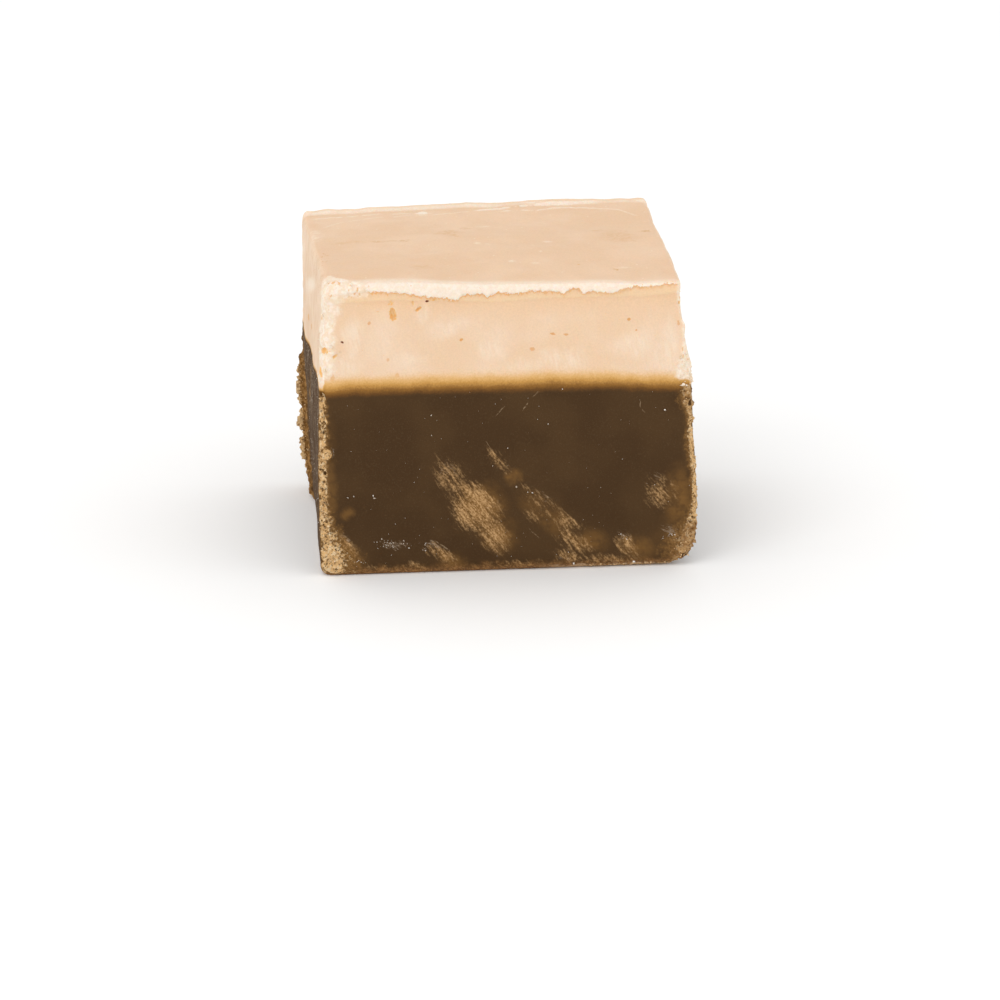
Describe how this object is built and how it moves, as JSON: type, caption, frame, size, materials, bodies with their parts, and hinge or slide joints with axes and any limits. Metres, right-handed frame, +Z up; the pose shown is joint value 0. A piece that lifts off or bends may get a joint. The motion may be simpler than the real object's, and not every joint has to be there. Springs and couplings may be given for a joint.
{
  "type": "fudge cube",
  "caption": "Hand-cut cube of two-layer fudge: a pale cream layer with a ragged front lip on a dark chocolate layer with crumbly crusted edges.",
  "frame": {"origin": "centre of the cube's bounding box in plan, at its flat underside", "axes": "+Z up from the underside to the poured top, -Y towards the cut front face that the picture shows, +X to that face's right"},
  "size_m": [0.0342, 0.03, 0.0268],
  "materials": {
    "pale_fudge": null,
    "dark_fudge": null
  },
  "bodies": {
    "root": {"pale_layer": "pale_fudge", "dark_layer": "dark_fudge"}
  },
  "joints": []
}
